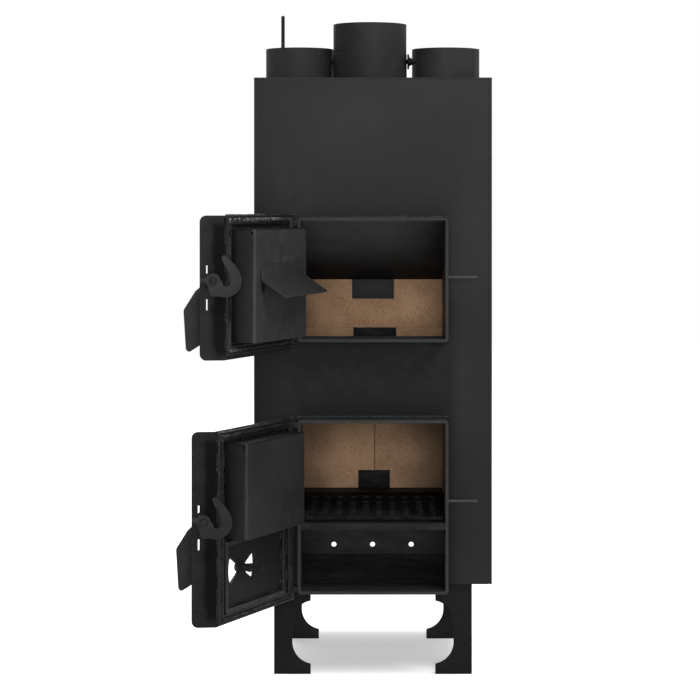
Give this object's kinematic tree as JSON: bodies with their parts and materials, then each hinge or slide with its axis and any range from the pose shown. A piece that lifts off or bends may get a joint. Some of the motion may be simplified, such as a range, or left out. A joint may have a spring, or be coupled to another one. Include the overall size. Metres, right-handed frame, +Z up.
{
  "type": "solid fuel air heating stove",
  "caption": "Tall sheet steel box stove on plate legs with a hinged fire door and ash door, hook latches, a flue collar and hot air collars on top.",
  "frame": {"origin": "on the floor under the middle of the whole stove with both doors open as shown", "axes": "+Z up, -Y out of the front with the door openings, +X to the right as seen from the front"},
  "size_m": [0.506, 0.8445, 1.135],
  "materials": {
    "black_paint": "matt heat resistant paint",
    "sooty_steel": "dark scaled steel",
    "grate_iron": "rough cast",
    "lining": "grainy pressed vermiculite",
    "rope": "woven glass rope",
    "bare_steel": "dull steel"
  },
  "bodies": {
    "stove": {"jacket_wrap": "black_paint", "front_panel": "black_paint", "top_plate": "black_paint", "inner_shell": "sooty_steel", "upper_throat": "black_paint", "lower_throat": "black_paint", "ash_shelf": "sooty_steel", "grate": "grate_iron", "baffle": "sooty_steel", "left_side_board": "lining", "right_side_board": "lining", "left_rear_board": "lining", "right_rear_board": "lining", "top_rear_board": "lining", "baffle_clip": "sooty_steel", "board_clip": "sooty_steel", "rear_foot_plate": "sooty_steel", "flue_collar": "black_paint", "left_air_collar": "black_paint", "right_air_collar": "black_paint", "rod_guide": "black_paint", "front_left_leg": "black_paint", "front_right_leg": "black_paint", "rear_left_leg": "black_paint", "rear_right_leg": "black_paint", "front_rail": "black_paint", "rear_rail": "black_paint", "catch_pins": "bare_steel", "hinge_lugs": "black_paint", "hinge_pins": "bare_steel"},
    "flue_damper": {"damper_disc": "sooty_steel", "damper_spindle": "bare_steel", "damper_lever": "bare_steel", "damper_nut": "bare_steel"},
    "air_valve": {"valve_rod": "bare_steel", "valve_plate": "sooty_steel"},
    "fire_door": {"upper_door_sheet": "black_paint", "upper_gasket_frame": "black_paint", "upper_gasket_rope": "rope", "upper_shield_box": "black_paint", "upper_deflector": "black_paint", "upper_door_knuckles": "black_paint", "upper_latch_bush": "black_paint"},
    "fire_door_latch": {"upper_latch_shaft": "bare_steel", "upper_latch_hook": "black_paint", "upper_latch_grip": "black_paint"},
    "ash_door": {"lower_door_sheet": "black_paint", "lower_gasket_frame": "black_paint", "lower_gasket_rope": "rope", "lower_shield_box": "black_paint", "lower_window_frame": "black_paint", "lower_door_knuckles": "black_paint", "lower_latch_bush": "black_paint", "rosette_bolt": "bare_steel"},
    "ash_door_latch": {"lower_latch_shaft": "bare_steel", "lower_latch_hook": "black_paint", "lower_latch_grip": "black_paint"},
    "air_rosette": {"rosette_disc": "black_paint"}
  },
  "joints": [
    {"name": "fire_door_hinge", "type": "hinge", "parent": "stove", "child": "fire_door", "pos_m": [-0.083, -0.1321, 0.6665], "axis": [0, 0, 1], "range_deg": [-9, 111]},
    {"name": "ash_door_hinge", "type": "hinge", "parent": "stove", "child": "ash_door", "pos_m": [-0.083, -0.1321, 0.2895], "axis": [0, 0, 1], "range_deg": [-6, 114]},
    {"name": "fire_door_latch_turn", "type": "hinge", "parent": "fire_door", "child": "fire_door_latch", "pos_m": [-0.19664, -0.38465, 0.675], "axis": [0.1564, -0.9877, 0], "range_deg": [-70, 0]},
    {"name": "ash_door_latch_turn", "type": "hinge", "parent": "ash_door", "child": "ash_door_latch", "pos_m": [-0.2097, -0.37835, 0.3045], "axis": [0.1045, -0.9945, 0], "range_deg": [-70, 0]},
    {"name": "air_rosette_turn", "type": "hinge", "parent": "ash_door", "child": "air_rosette", "pos_m": [-0.15581, -0.29563, 0.219], "axis": [0.9135, -0.4067, 0], "range_deg": [-8, 82]},
    {"name": "flue_damper_turn", "type": "hinge", "parent": "stove", "child": "flue_damper", "pos_m": [0.048, 0.1222, 1.0435], "axis": [1, 0, 0], "range_deg": [0, 90]},
    {"name": "air_valve_slide", "type": "slide", "parent": "stove", "child": "air_valve", "axis": [0, 0, 1], "range_m": [0, 0.048]}
  ]
}
